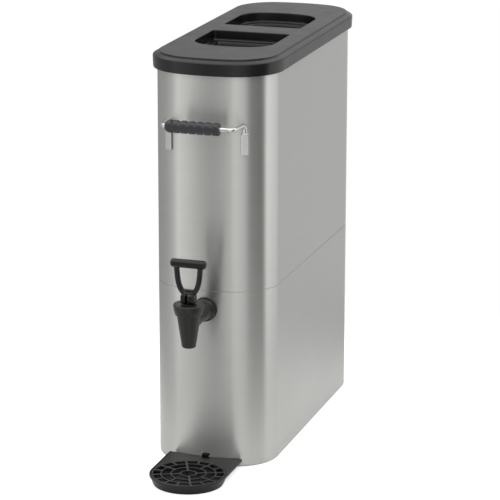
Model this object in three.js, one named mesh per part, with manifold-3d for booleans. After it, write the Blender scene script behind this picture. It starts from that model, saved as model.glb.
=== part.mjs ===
// Slim five-gallon drinks dispenser in stainless steel: a tall narrow tank on a skirt, with a
// lift-off lid, a self-closing faucet, two grab handles and a clip-on drip tray.
// Millimetres, +Z up, the faucet looks towards -Y. The origin is on the floor, under the middle
// of the whole object's box.
import * as THREE from "three";
import { mergeVertices } from "three/addons/utils/BufferGeometryUtils.js";
import Module from "manifold-3d";

const wasm = await Module();
wasm.setup();

// ---- Driving dimensions --------------------------------------------------------------------
const GAP = 0.3; // clearance between pieces that touch
const SHEET = 1; // stainless sheet
const PLASTIC = 2.5; // moulded wall

const TANK = { halfWidth: 80, halfLength: 212, cornerRadius: 57, bowRadius: 192 };
const SEAM_Z = 235; // top edge of the skirt, where the tank drops inside it
const JOGGLE = 1.4; // how far the tank wall steps in below the seam
const TANK_BOTTOM_Z = 184;
const RIM_Z = 529.4; // rim of the tank, inside the lid
const HEM = 0.9; // the rim's outward hem
const HEM_HEIGHT = 3.5;
const BASE_FLANGE = 12; // in-turned foot of the skirt

const FLOOR_PAN = { lip: 10, rearZ: 192, frontZ: 185.5 };

const LID = { skirtZ: 514, shoulderZ: 529, topZ: 535, overhang: 5.8, shoulderInset: 6, step: 1.8 };
const LID_RIB = { inset: 3.2, thickness: 2.2, bottomZ: 502 };
const POCKET = { halfWidth: 53, halfLength: 125.5, cornerRadius: 34, bowRadius: 110 };
const POCKET_DEPTH = 13.5;
const BAR_HALF = 21.5; // half the width of the lid's grab bar

const HANDLE = { tabX: 50, tabWidth: 10.5, tabHeight: 27, tabThickness: 2.6, tabTopZ: 441 };
const ROD = { radius: 3, barZ: 453, standoff: 29, bend: 7.5, armX: 47 };
const GRIP = { radius: 8.2, groove: 1, from: -41.7, to: 29.5, ridges: 7 };

const FAUCET = { shankZ: 210.5, reach: 64, boreRadius: 4.5, shankRadius: 7.7, holeRadius: 8.3 };
const FLANGE = { radius: 15, thickness: 4, neckRadius: 12.5 };
const NECK = { startY: 4, radius: 9.5, flareY: 26 };
const SPOUT = { tipZ: 179, tipRadius: 8.6, topRadius: 15.2, topZ: 230, outletRadius: 6 };
const CHAMBER = { radius: 10.5, floorZ: 205 };
const COLLAR = { radius: 19.6, bottomZ: 222, topZ: 236, cap: 4 };
const WASHER = { radius: 15.6, innerRadius: 13.6, thickness: 2, plate: 1 };
const NUT = { acrossFlats: 25, thickness: 8 };
const STEM = { radius: 2.6, eyeRadius: 4, eyeWidth: 5, eyeBelow: 9, eyeAbove: 3.5 };
const STEM_HEAD = { radius: 4.4, rise: 6, height: 2 };
const CUP = { baseRadius: 7.6, radius: 9.4, flare: 3, height: 14, wall: 1.4, floor: 5 };
const PIN = { radius: 1.5, length: 17.4, z: 242.5 };
const CLEVIS = { width: 18.4, depth: 13, above: 5, heelGap: 0.6 };
const YOKE = { width: 15, depth: 8, drop: 34 };
const LEVER = { gripZ: 287.5, gripHalf: 23.2, gripRadius: 5.6, armRadius: 3.1 };
// One arm of the lever: how far it stands out from the middle at each drop below the bar.
const LEVER_ARM = [[15.4, 1], [15.2, 9], [13.8, 21], [12, 28.5], [9.6, 33.5], [6.2, 37.5], [3, 39.5]];

const TRAY = { radius: 50, baseRadius: 45, height: 13, wall: 2.2, reach: 68, platform: 3, sink: 0.7 };
const TRAY_CORNER = 7;
const HOOK = { width: 9.6, height: 4, depth: 5, root: 4, z: 14 };
// Four hoops, and the spokes between each hoop and the next.
const GRID = { height: 2.2, bar: 1.8, rings: [10.2, 22.5, 35, 46.2], spokes: [4, 8, 16], turn: 22.5 };

// The tray reaches furthest forward and the rear grip furthest back.
const trayFront = TANK.halfLength + TRAY.reach + TRAY.radius;
const rearReach = TANK.halfLength + ROD.standoff + GRIP.radius;
const frameShift = (trayFront - rearReach) / 2;

// ---- Materials -----------------------------------------------------------------------------
const steel = (color = 0xb4b5b1) =>
  new THREE.MeshStandardMaterial({ color, roughness: 0.34, metalness: 1 });
const blackPlastic = (color = 0x2b2b2d) =>
  new THREE.MeshStandardMaterial({ color, roughness: 0.45, metalness: 0 });
const rubber = (color = 0x333237) =>
  new THREE.MeshStandardMaterial({ color, roughness: 0.75, metalness: 0 });

// ---- Solids --------------------------------------------------------------------------------
// A closed three.js geometry as a manifold-3d solid.
function solid(geometry) {
  const bare = geometry.clone();
  bare.deleteAttribute("normal");
  bare.deleteAttribute("uv");
  const merged = mergeVertices(bare, 1e-4);
  return new wasm.Manifold(
    new wasm.Mesh({
      numProp: 3,
      vertProperties: merged.attributes.position.array,
      triVerts: new Uint32Array(merged.index.array),
    }),
  );
}

// A named mesh from a solid.
function piece(name, body, material) {
  const { vertProperties, triVerts } = body.getMesh();
  const geometry = new THREE.BufferGeometry()
    .setAttribute("position", new THREE.BufferAttribute(vertProperties, 3))
    .setIndex(new THREE.BufferAttribute(triVerts, 1));
  const mesh = new THREE.Mesh(geometry.toNonIndexed(), material);
  mesh.geometry.computeVertexNormals();
  mesh.name = name;
  return mesh;
}

function prism(shape, bottom, top, curveSegments = 4) {
  const options = { depth: top - bottom, bevelEnabled: false, curveSegments };
  return solid(new THREE.ExtrudeGeometry(shape, options).translate(0, 0, bottom));
}

// A solid of revolution about Z from [radius, height] pairs. A profile that leaves the axis
// closes on itself.
function turned(profile, segments = 28) {
  const points = profile.map(([radius, height]) => new THREE.Vector2(radius, height));
  if (profile[0][0] > 0) points.push(points[0].clone());
  return solid(new THREE.LatheGeometry(points, segments).rotateX(Math.PI / 2));
}

function cylinder(radius, bottom, top, segments = 28) {
  return turned([[0, bottom], [radius, bottom], [radius, top], [0, top]], segments);
}

function ring(inner, outer, bottom, top, segments = 28) {
  return turned([[inner, bottom], [outer, bottom], [outer, top], [inner, top]], segments);
}

function box(sizeX, sizeY, sizeZ, x, y, z) {
  return solid(new THREE.BoxGeometry(sizeX, sizeY, sizeZ).translate(x, y, z));
}

// A round bar along a smooth curve through the points.
function bar(points, radius, steps, sides = 10) {
  const route = new THREE.CatmullRomCurve3(
    points.map((p) => new THREE.Vector3(...p)),
    false,
    "centripetal",
  );
  const section = new THREE.Shape().absarc(0, 0, radius, 0, 2 * Math.PI);
  const options = { extrudePath: route, steps, curveSegments: sides / 2, bevelEnabled: false };
  return solid(new THREE.ExtrudeGeometry(section, options));
}

// A round bar with straight runs between its corners, and a bend of one size at each corner.
function bentBar(corners, bend, radius, steps, sides = 10) {
  const points = corners.map((p) => new THREE.Vector3(...p));
  const route = new THREE.CurvePath();
  let from = points[0];
  for (let i = 1; i < points.length; i++) {
    const corner = points[i];
    const last = i === points.length - 1;
    const before = last ? corner : towards(corner, points[i - 1], bend);
    route.add(new THREE.LineCurve3(from, before));
    if (last) break;
    from = towards(corner, points[i + 1], bend);
    route.add(new THREE.QuadraticBezierCurve3(before, corner, from));
  }
  const section = new THREE.Shape().absarc(0, 0, radius, 0, 2 * Math.PI);
  const options = { extrudePath: route, steps, curveSegments: sides / 2, bevelEnabled: false };
  return solid(new THREE.ExtrudeGeometry(section, options));
}

// The point at a distance from one point on the way to another.
function towards(from, to, distance) {
  return from.clone().lerp(to, distance / from.distanceTo(to));
}

// Plan outline with straight sides, round corners and bowed ends, grown by offset.
function outline({ halfWidth, halfLength, cornerRadius, bowRadius }, offset = 0) {
  const sideX = halfWidth - cornerRadius;
  const bowY = halfLength - bowRadius;
  const sweep = Math.asin(sideX / (bowRadius - cornerRadius));
  const cornerY = bowY + (bowRadius - cornerRadius) * Math.cos(sweep);
  const corner = cornerRadius + offset;
  const bow = bowRadius + offset;
  const quarter = Math.PI / 2;
  const shape = new THREE.Shape();
  shape.absarc(sideX, cornerY, corner, 0, quarter - sweep);
  shape.absarc(0, bowY, bow, quarter - sweep, quarter + sweep);
  shape.absarc(-sideX, cornerY, corner, quarter + sweep, 2 * quarter);
  shape.absarc(-sideX, -cornerY, corner, 2 * quarter, 3 * quarter - sweep);
  shape.absarc(0, -bowY, bow, 3 * quarter - sweep, 3 * quarter + sweep);
  shape.absarc(sideX, -cornerY, corner, 3 * quarter + sweep, 4 * quarter);
  return shape;
}

// A wall that follows the tank's outline between two offsets.
function wall(outer, inner, bottom, top) {
  return prism(outline(TANK, outer), bottom, top).subtract(
    prism(outline(TANK, inner), bottom - 1, top + 1),
  );
}

// Cuts the faucet's hole through the front wall.
const frontHole = cylinder(FAUCET.holeRadius, TANK.halfLength - 20, TANK.halfLength + 20)
  .rotate([90, 0, 0])
  .translate([0, 0, FAUCET.shankZ]);

// ---- Tank ----------------------------------------------------------------------------------
function tankWall() {
  const upper = wall(0, -SHEET, SEAM_Z + GAP, RIM_Z);
  const ledge = wall(0, -JOGGLE - SHEET, SEAM_Z + GAP, SEAM_Z + GAP + 1.4);
  const lower = wall(-JOGGLE, -JOGGLE - SHEET, TANK_BOTTOM_Z, SEAM_Z + 1);
  const hem = wall(HEM, -SHEET, RIM_Z - HEM_HEIGHT, RIM_Z);
  const body = upper.add(ledge).add(lower).add(hem).subtract(frontHole);
  return piece("tank_wall", body, steel());
}

// A pan that slopes down to the faucet, with an up-turned lip inside the tank wall.
function tankFloor() {
  const edge = -JOGGLE - SHEET - GAP;
  const { lip, rearZ, frontZ } = FLOOR_PAN;
  const bottom = TANK_BOTTOM_Z;
  const shell = wall(edge, edge - SHEET, bottom, bottom + lip);
  const slope = Math.atan2(rearZ - frontZ, 2 * TANK.halfLength);
  const slab = solid(
    new THREE.BoxGeometry(3 * TANK.halfWidth, 3 * TANK.halfLength, SHEET)
      .rotateX(slope)
      .translate(0, 0, (rearZ + frontZ) / 2),
  );
  const pan = slab.intersect(prism(outline(TANK, edge - SHEET / 2), bottom, bottom + lip));
  return piece("tank_floor", shell.add(pan), steel(0xa9aaa7));
}

function baseSkirt() {
  const shell = wall(0, -SHEET, 0, SEAM_Z);
  const flange = wall(-SHEET / 2, -BASE_FLANGE, 0, SHEET);
  const play = 4 * GAP;
  const slot = box(HOOK.width + play, 12, HOOK.height + play, 0, -TANK.halfLength, HOOK.z);
  const body = shell.add(flange).subtract(frontHole).subtract(slot);
  return piece("base_skirt", body, steel(0xb2b2ae));
}

// ---- Lid -----------------------------------------------------------------------------------
// One half of the pocket outline, on one side of the grab bar, grown by offset.
function pocketHalf(side, offset, bottom, top) {
  const length = POCKET.halfLength + 20;
  const edge = BAR_HALF - offset;
  const centre = (side * (length + edge)) / 2;
  const width = 3 * POCKET.halfWidth;
  const window = box(width, length - edge, top - bottom, 0, centre, (top + bottom) / 2);
  return prism(outline(POCKET, offset), bottom, top).intersect(window);
}

function lidCover() {
  const { skirtZ, shoulderZ, topZ, overhang, shoulderInset, step } = LID;
  const ledgeZ = topZ - step;
  const rise = (ledgeZ - shoulderZ) / 2;
  const underZ = RIM_Z + GAP;
  const layer = (inset, top) => prism(outline(TANK, overhang - inset), shoulderZ - 1, top);
  let body = prism(outline(TANK, overhang), skirtZ, shoulderZ)
    .add(layer(shoulderInset * 0.2, shoulderZ + rise))
    .add(layer(shoulderInset * 0.6, ledgeZ))
    .add(layer(shoulderInset + 2, topZ))
    .subtract(prism(outline(TANK, overhang - PLASTIC), skirtZ - 1, underZ));
  const { inset, thickness, bottomZ } = LID_RIB;
  body = body.add(wall(-inset, -inset - thickness, bottomZ, underZ + 1));
  for (const side of [-1, 1]) {
    const floorZ = topZ - POCKET_DEPTH;
    body = body
      .add(pocketHalf(side, PLASTIC, floorZ - PLASTIC, topZ - 1))
      .subtract(pocketHalf(side, 0, floorZ, topZ + 1));
  }
  return piece("lid_cover", body, blackPlastic(0x4a4a4c));
}

// ---- Grab handles --------------------------------------------------------------------------
// Modelled at the front end; the rear handle is the same group turned half a turn.
function grabHandle(end, turn) {
  const group = new THREE.Group();
  const { tabX, tabWidth, tabHeight, tabThickness, tabTopZ } = HANDLE;
  const { radius, barZ, standoff, bend, armX } = ROD;
  const sideX = TANK.halfWidth - TANK.cornerRadius;
  const bowY = TANK.halfLength - TANK.bowRadius;
  const sweep = Math.asin(sideX / (TANK.bowRadius - TANK.cornerRadius));
  const cornerY = bowY + (TANK.bowRadius - TANK.cornerRadius) * Math.cos(sweep);
  const lean = Math.asin((tabX - sideX) / TANK.cornerRadius);
  const tabOut = TANK.cornerRadius + GAP + tabThickness / 2;
  const tabY = -cornerY - tabOut * Math.cos(lean);
  const tabAt = sideX + tabOut * Math.sin(lean);
  const barY = -TANK.halfLength - standoff;
  const rodY = tabY - radius + tabThickness / 2;

  const half = [
    [tabAt, rodY, tabTopZ - 6],
    [tabAt, rodY, barZ],
    [armX, barY, barZ],
  ];
  const mirrored = half.map(([x, y, z]) => [-x, y, z]).reverse();
  let rod = bentBar([...half, ...mirrored], bend, radius, 64, 8);
  for (const side of [-1, 1]) {
    const tab = solid(
      new THREE.BoxGeometry(tabWidth, tabThickness, tabHeight)
        .rotateZ(side * lean)
        .translate(side * tabAt, tabY, tabTopZ - tabHeight / 2),
    );
    rod = rod.add(tab);
  }
  group.add(piece(end + "_handle_rod", rod, steel(0xc8c9c6)));

  // Rubber sleeve with finger ridges, off-centre on the bar.
  const pitch = (GRIP.to - GRIP.from) / GRIP.ridges;
  const profile = [[radius + GAP, 0]];
  for (let i = 0; i < GRIP.ridges; i++) {
    profile.push([GRIP.radius - GRIP.groove, i * pitch]);
    profile.push([GRIP.radius, (i + 0.5) * pitch]);
  }
  profile.push([GRIP.radius - GRIP.groove, GRIP.ridges * pitch]);
  profile.push([radius + GAP, GRIP.ridges * pitch]);
  const sleeve = turned(profile, 16).rotate([0, 90, 0]).translate([GRIP.from, barY, barZ]);
  const cutEnds = box(GRIP.to - GRIP.from, 40, 40, (GRIP.to + GRIP.from) / 2, barY, barZ);
  group.add(piece(end + "_handle_grip", sleeve.intersect(cutEnds), rubber()));
  group.rotation.z = turn;
  return group;
}

// ---- Faucet --------------------------------------------------------------------------------
// Local frame: Z is the spout's axis, the tank lies towards +Y.
function faucet() {
  const group = new THREE.Group();
  const { shankZ, boreRadius, shankRadius } = FAUCET;
  // Inside face of the tank wall, where its bow comes closest to the flat inner washer.
  const insideY = FAUCET.reach + JOGGLE + SHEET + WASHER.radius ** 2 / (2 * TANK.bowRadius);
  const outerEndY = FAUCET.reach - GAP;
  const outerY = outerEndY - WASHER.thickness;
  const flangeY = outerY - GAP;
  const innerY = insideY + GAP;
  const plateY = innerY + WASHER.thickness + GAP;
  const nutY = plateY + WASHER.plate + GAP;
  const nutEndY = nutY + NUT.thickness;
  const shankEndY = nutEndY + 4;

  const spout = turned([
    [0, SPOUT.tipZ],
    [SPOUT.tipRadius - 1.2, SPOUT.tipZ],
    [SPOUT.tipRadius, SPOUT.tipZ + 1.6],
    [SPOUT.topRadius, COLLAR.bottomZ],
    [SPOUT.topRadius, SPOUT.topZ],
    [0, SPOUT.topZ],
  ]);
  const neck = layAtShank(
    turned([
      [0, NECK.startY],
      [NECK.radius, NECK.startY],
      [NECK.radius, NECK.flareY],
      [FLANGE.neckRadius, flangeY - FLANGE.thickness],
      [FLANGE.radius, flangeY - FLANGE.thickness + 0.5],
      [FLANGE.radius, flangeY],
      [shankRadius, flangeY],
      [shankRadius, shankEndY],
      [0, shankEndY],
    ]),
  );
  const body = spout
    .add(neck)
    .subtract(cylinder(SPOUT.outletRadius, SPOUT.tipZ - 1, CHAMBER.floorZ + 1))
    .subtract(cylinder(CHAMBER.radius, CHAMBER.floorZ, SPOUT.topZ + 1))
    .subtract(layAtShank(cylinder(boreRadius, 0, shankEndY + 1)));
  group.add(piece("faucet_body", body, blackPlastic()));
  group.add(piece("faucet_bonnet", bonnet(), blackPlastic(0x262628)));

  const hole = shankRadius + GAP;
  const outer = layAtShank(ring(hole, WASHER.radius, outerY, outerEndY, 24));
  const inner = layAtShank(ring(hole, WASHER.innerRadius, innerY, innerY + WASHER.thickness, 24));
  const plate = layAtShank(ring(hole, WASHER.innerRadius, plateY, plateY + WASHER.plate, 24));
  const hexagon = cylinder(NUT.acrossFlats / Math.sqrt(3), nutY, nutEndY, 6);
  const nut = layAtShank(hexagon.subtract(cylinder(hole, nutY - 1, nutEndY + 1, 24)));
  group.add(piece("faucet_washer_outer", outer, rubber(0x1c1c1c)));
  group.add(piece("faucet_washer_inner", inner, rubber(0x1c1c1c)));
  group.add(piece("faucet_clamp_washer", plate, steel()));
  group.add(piece("faucet_nut", nut, blackPlastic(0x303032)));

  group.add(piece("faucet_stem", valveStem(), blackPlastic(0x1f1f20)));
  group.add(piece("faucet_seat_cup", seatCup(), rubber(0xb9b4aa)));
  group.add(piece("faucet_handle", pullLever(), blackPlastic(0x232325)));
  group.add(piece("faucet_handle_pin", alongX(PIN.radius, PIN.length), steel()));
  return group;
}

// Lays a piece turned on Z along +Y at the shank's height, from y = 0.
function layAtShank(body) {
  return body.rotate([-90, 0, 0]).translate([0, 0, FAUCET.shankZ]);
}

// A round bar along X through the lever's pin.
function alongX(radius, length) {
  return cylinder(radius, -length / 2, length / 2, 12).rotate([0, 90, 0]).translate([0, 0, PIN.z]);
}

// Screwed collar with a flat cap that the stem passes through.
function bonnet() {
  const { radius, bottomZ, topZ, cap } = COLLAR;
  const overSpout = SPOUT.topRadius + GAP;
  const overChamber = CHAMBER.radius + 1;
  const stemHole = STEM.eyeRadius + 1;
  return turned(
    [
      [overSpout, bottomZ],
      [radius - 2.2, bottomZ],
      [radius, topZ - 1.8],
      [radius - 0.7, topZ - 0.5],
      [radius - 2, topZ],
      [stemHole, topZ],
      [stemHole, topZ - cap],
      [overChamber, topZ - cap],
      [overChamber, SPOUT.topZ + GAP],
      [overSpout, SPOUT.topZ + GAP],
    ],
    36,
  );
}

// Stem with an eye for the pin and a round head that the cup grips.
function valveStem() {
  const headZ = CHAMBER.floorZ + STEM_HEAD.rise;
  const eye = cylinder(STEM.eyeRadius, PIN.z - STEM.eyeBelow, PIN.z + STEM.eyeAbove, 16);
  return cylinder(STEM.radius, headZ, PIN.z - STEM.eyeRadius, 16)
    .add(eye.intersect(box(STEM.eyeWidth, 20, 60, 0, 0, PIN.z)))
    .add(cylinder(STEM_HEAD.radius, headZ, headZ + STEM_HEAD.height, 16))
    .subtract(alongX(PIN.radius + GAP, 30));
}

// Silicone cup that closes the outlet.
function seatCup() {
  const bottom = CHAMBER.floorZ + GAP;
  const { baseRadius, radius, flare, height, wall: lip, floor } = CUP;
  const socket = STEM_HEAD.radius + GAP;
  const shelf = CHAMBER.floorZ + STEM_HEAD.rise + STEM_HEAD.height + 2 * GAP;
  return turned([
    [0, bottom],
    [baseRadius, bottom],
    [radius, bottom + flare],
    [radius, bottom + height],
    [radius - lip, bottom + height],
    [radius - lip, shelf],
    [socket, shelf],
    [socket, bottom + floor],
    [0, bottom + floor],
  ]);
}

// Lever: a clevis over the stem's eye, two arms and a bar to pull.
function pullLever() {
  const { gripZ, gripHalf, gripRadius, armRadius } = LEVER;
  let lever = turned(
    [
      [0, -gripHalf],
      [gripRadius - 1.5, -gripHalf],
      [gripRadius, -gripHalf + 1.5],
      [gripRadius, gripHalf - 1.5],
      [gripRadius - 1.5, gripHalf],
      [0, gripHalf],
    ],
    14,
  )
    .rotate([0, 90, 0])
    .translate([0, 0, gripZ]);
  for (const side of [-1, 1]) {
    const route = LEVER_ARM.map(([out, down]) => [side * out, 0, gripZ - down]);
    lever = lever.add(bar(route, armRadius, 14, 8));
  }
  const heelZ = COLLAR.topZ + CLEVIS.heelGap;
  const clevisTop = PIN.z + CLEVIS.above;
  const yokeTop = gripZ - YOKE.drop;
  const middle = (a, b) => (a + b) / 2;
  const clevis = box(CLEVIS.width, CLEVIS.depth, clevisTop - heelZ, 0, 0, middle(clevisTop, heelZ));
  const yoke = box(YOKE.width, YOKE.depth, yokeTop - PIN.z, 0, 0, middle(yokeTop, PIN.z));
  // The slot clears the eye's corners as the lever tilts.
  const slotTop = PIN.z + Math.hypot(STEM.eyeRadius, STEM.eyeAbove) + GAP;
  const slotBottom = heelZ - 1;
  const slotHeight = slotTop - slotBottom;
  const slot = box(STEM.eyeWidth + 2 * GAP, 20, slotHeight, 0, 0, middle(slotTop, slotBottom));
  return lever.add(clevis).add(yoke).subtract(slot).subtract(alongX(PIN.radius + GAP, 30));
}

// ---- Drip tray -----------------------------------------------------------------------------
// Local frame: the dish's axis is Z, the tank lies towards +Y.
function trayShape(radius, inset) {
  const bow = TANK.bowRadius + 0.8 + inset;
  const bowY = TRAY.reach + TANK.bowRadius;
  const side = TRAY.radius - inset;
  const corner = TRAY_CORNER - inset;
  const cornerX = side - corner;
  const edgeY = bowY - Math.sqrt(bow ** 2 - cornerX ** 2);
  const half = Math.asin(cornerX / bow);
  const shape = new THREE.Shape();
  shape.absarc(0, 0, radius, Math.PI, 2 * Math.PI);
  shape.absarc(cornerX, edgeY - corner, corner, 0, Math.PI / 2);
  shape.absarc(0, bowY, bow, -Math.PI / 2 + half, -Math.PI / 2 - half, true);
  shape.absarc(-cornerX, edgeY - corner, corner, Math.PI / 2, Math.PI);
  return shape;
}

function dripTray() {
  const group = new THREE.Group();
  const { radius, baseRadius, height, wall: thickness, reach, platform } = TRAY;
  const gridSeat = radius - thickness;
  const gridZ = height - GRID.height - TRAY.sink;
  let dish = turned(
    [[0, 0], [baseRadius, 0], [radius - 1, height - platform], [radius - 1, height], [0, height]],
    40,
  )
    .add(prism(trayShape(radius, 0), height - platform, height, 8))
    .subtract(
      turned(
        [
          [0, thickness],
          [baseRadius - thickness, thickness],
          [gridSeat - 3, gridZ - GAP],
          [gridSeat, gridZ - GAP],
          [gridSeat, height + 1],
          [0, height + 1],
        ],
        40,
      ),
    );
  const hookY = reach + HOOK.depth / 2 - HOOK.root / 2;
  dish = dish.add(box(HOOK.width, HOOK.depth + HOOK.root, HOOK.height, 0, hookY, HOOK.z));
  group.add(piece("drip_tray", dish, blackPlastic(0x2e2e30)));

  const { bar: width, rings, spokes, turn } = GRID;
  const top = gridZ + GRID.height;
  const hoop = (r) => ring(r - width / 2, r + width / 2, gridZ, top, 32);
  let grid = hoop(rings[0]);
  spokes.forEach((count, zone) => {
    const [inner, outer] = [rings[zone], rings[zone + 1]];
    const spoke = box(outer - inner, width, GRID.height, (outer + inner) / 2, 0, (gridZ + top) / 2);
    grid = grid.add(hoop(outer));
    for (let i = 0; i < count; i++) {
      grid = grid.add(spoke.rotate([0, 0, turn + (360 * i) / count]));
    }
  });
  group.add(piece("drip_grid", grid, blackPlastic(0x222224)));
  return group;
}

// ---- Assembly ------------------------------------------------------------------------------
const dispenser = new THREE.Group();
const tank = new THREE.Group();
tank.position.y = frameShift;
dispenser.add(tank);
tank.add(tankWall(), tankFloor(), baseSkirt(), lidCover());
tank.add(grabHandle("front", 0), grabHandle("rear", Math.PI));

const faucetGroup = faucet();
faucetGroup.position.y = -TANK.halfLength - FAUCET.reach;
tank.add(faucetGroup);

const trayGroup = dripTray();
trayGroup.position.y = -TANK.halfLength - TRAY.reach;
tank.add(trayGroup);

export default dispenser;
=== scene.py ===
"""Looks of a slim stainless drinks dispenser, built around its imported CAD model.

Shapes are written in millimetres about the middle of the tank and stored in metres in the
model's frame. Profiles are lists of corners (across, up, rounding).
"""

import math

import bmesh
import bpy
from mathutils import Matrix, Vector


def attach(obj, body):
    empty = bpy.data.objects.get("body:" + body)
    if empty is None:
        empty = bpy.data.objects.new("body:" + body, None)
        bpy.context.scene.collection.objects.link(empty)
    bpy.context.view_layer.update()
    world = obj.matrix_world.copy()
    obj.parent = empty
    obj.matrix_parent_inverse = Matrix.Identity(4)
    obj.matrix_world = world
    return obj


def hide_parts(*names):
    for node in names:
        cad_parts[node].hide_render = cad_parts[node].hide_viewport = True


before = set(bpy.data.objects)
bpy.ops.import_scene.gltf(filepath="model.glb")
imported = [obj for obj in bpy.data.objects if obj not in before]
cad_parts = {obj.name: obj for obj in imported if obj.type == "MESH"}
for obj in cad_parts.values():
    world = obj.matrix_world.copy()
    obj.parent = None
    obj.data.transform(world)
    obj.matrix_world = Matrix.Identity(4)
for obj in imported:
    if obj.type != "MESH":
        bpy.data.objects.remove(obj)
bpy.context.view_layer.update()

# ---- Dimensions, in millimetres ---------------------------------------------------------------
MM = 0.001
FRAME_Y = 40.4  # the tank's middle in the model's frame
GAP = 0.3
SHEET = 1.0

TANK = (80, 212, 57, 192)  # half width, half length, corner radius, bow radius of the ends
SEAM_Z = 235
SEAM_GAP = 0.15
JOGGLE = 1.4
TANK_BOTTOM_Z = 184
RIM_Z = 529.4
HEM = 0.9
HEM_Z = 525.9
FOOT = 12
PAN_LIP_Z = 194
PAN_REAR_Z = 192
PAN_FRONT_Z = 185.5

LID_BOTTOM_Z = 514
LID_TOP_Z = 535
LID_OVER = 5.8
POCKET = (53, 125.5, 34, 110)
POCKET_FLOOR_Z = 521.5
BAR_HALF = 21.5

FAUCET_Y = -276
SHANK_Z = 210.5
SHANK_RADIUS = 7.7
SHANK_END = 85.3
SHANK_HOLE = 8.3
BORE = 4.5
OUTLET = 6
CHAMBER = 10.5
FLANGE_Y = 61.4
SPOUT_TIP_Z = 179
SPOUT_TOP_Z = 230
CHAMBER_Z = 205
COLLAR_BOTTOM_Z = 222
COLLAR_TOP_Z = 236
PIN_Z = 242.5
PULL_Z = 287.5

HANDLE_Z = 453
HANDLE_OUT = 29
ROD_RADIUS = 3
ROD_BEND = 7.5
ROD_ARM_X = 47
GRIP_FROM = -41.7
GRIP_TO = 29.5

TRAY_Y = -280
TRAY_RADIUS = 50
TRAY_HEIGHT = 13
TRAY_REACH = 68
GRID_RINGS = (10.2, 22.5, 35, 46.2)
GRID_SPOKES = (4, 8, 16)
GRID_BAR = 1.8
GRID_BOTTOM_Z = 10.1
GRID_TOP_Z = 12.3


# ---- Geometry helpers -------------------------------------------------------------------------
class Shell:
    """Vertices, in millimetres, and faces of one piece."""

    def __init__(self):
        self.verts = []
        self.faces = []

    def ring(self, points):
        start = len(self.verts)
        self.verts += [tuple(p) for p in points]
        return list(range(start, len(self.verts)))

    def skin(self, a, b):
        for i in range(len(a)):
            j = (i + 1) % len(a)
            self.faces.append((a[i], a[j], b[j], b[i]))

    def cap(self, ring):
        self.faces.append(tuple(ring))

    def loft(self, sections, closed=False, capped=True):
        """Skin over a list of sections; a closed one joins its last section to its first."""
        rings = [self.ring(s) for s in sections]
        for a, b in zip(rings, rings[1:]):
            self.skin(a, b)
        if closed:
            self.skin(rings[-1], rings[0])
        elif capped:
            self.cap(rings[0])
            self.cap(rings[-1])
        return rings

    def add(self, other):
        start = len(self.verts)
        self.verts += other.verts
        self.faces += [tuple(start + i for i in f) for f in other.faces]
        return self

    def moved(self, change):
        """The same shell with each point sent through change."""
        out = Shell()
        out.verts = [tuple(change(*v)) for v in self.verts]
        out.faces = list(self.faces)
        return out


def rounded(corners, steps=4, closed=True):
    """Points of a profile whose corners (across, up, radius) are rounded."""
    points = []
    last = len(corners) - 1
    for i, (u, v, radius) in enumerate(corners):
        if not radius or (not closed and i in (0, last)):
            points.append((u, v))
            continue
        corner = Vector((u, v))
        to_last = (Vector(corners[i - 1][:2]) - corner).normalized()
        to_next = (Vector(corners[(i + 1) % len(corners)][:2]) - corner).normalized()
        half = to_last.angle(to_next) / 2
        if half > math.pi / 2 - 0.01:
            points.append((u, v))
            continue
        centre = corner + (to_last + to_next).normalized() * radius / math.sin(half)
        start = corner + to_last * radius / math.tan(half) - centre
        end = corner + to_next * radius / math.tan(half) - centre
        turn = start.angle_signed(end)
        for k in range(steps + 1):
            arm = Matrix.Rotation(-turn * k / steps, 2) @ start
            points.append(tuple(centre + arm))
    return points


def arc(x, y, radius, start, end, steps):
    angles = [start + (end - start) * k / steps for k in range(steps + 1)]
    return [(x + radius * math.cos(a), y + radius * math.sin(a)) for a in angles]


def outline(shape, offset=0, corner_steps=26, bow_steps=14):
    """Plan outline with straight sides, round corners and bowed ends, grown by offset."""
    half_width, half_length, corner, bow = shape
    side_x = half_width - corner
    bow_y = half_length - bow
    sweep = math.asin(side_x / (bow - corner))
    corner_y = bow_y + (bow - corner) * math.cos(sweep)
    quarter = math.pi / 2
    half = arc(side_x, corner_y, corner + offset, 0, quarter - sweep, corner_steps)
    half += arc(0, bow_y, bow + offset, quarter - sweep, quarter + sweep, bow_steps)[1:]
    half += arc(-side_x, corner_y, corner + offset, quarter + sweep, 2 * quarter, corner_steps)[1:]
    return half + [(-x, -y) for x, y in half]


def around(shape, profile):
    """Sections that follow an outline, one for each (offset, height) of the profile."""
    return [[(x, y, z) for x, y in outline(shape, offset)] for offset, z in profile]


def turned(profile, segments=64, closed=False):
    """A shell of revolution about Z from (radius, height) points."""
    shell = Shell()
    sections = []
    for radius, z in profile:
        circle = arc(0, 0, max(radius, 0), 0, 2 * math.pi, segments)[:-1]
        sections.append([(x, y, z) for x, y in circle])
    shell.loft(sections, closed=closed, capped=False)
    return shell


def along_y(x, y, z):
    """Sends a shell that stands on Z to lie along +Y at the shank's height."""
    return x, z, SHANK_Z - y


def along_x(x, y, z):
    return z, y, -x


def at_faucet(x, y, z):
    return x, y + FAUCET_Y, z


def at_shank(x, y, z):
    return at_faucet(*along_y(x, y, z))


def at_pin(x, y, z):
    return x, y + FAUCET_Y, z + PIN_Z


def at_tray(x, y, z):
    return x, y + TRAY_Y, z


def bow_section(width, depth, power, count=28):
    """Points of a section between an ellipse (power 2) and a box with rounded corners."""
    points = []
    for k in range(count):
        a = 2 * math.pi * k / count
        c, s = math.cos(a), math.sin(a)
        points.append(
            (
                width * math.copysign(abs(c) ** (2 / power), c),
                depth * math.copysign(abs(s) ** (2 / power), s),
            )
        )
    return points


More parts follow.
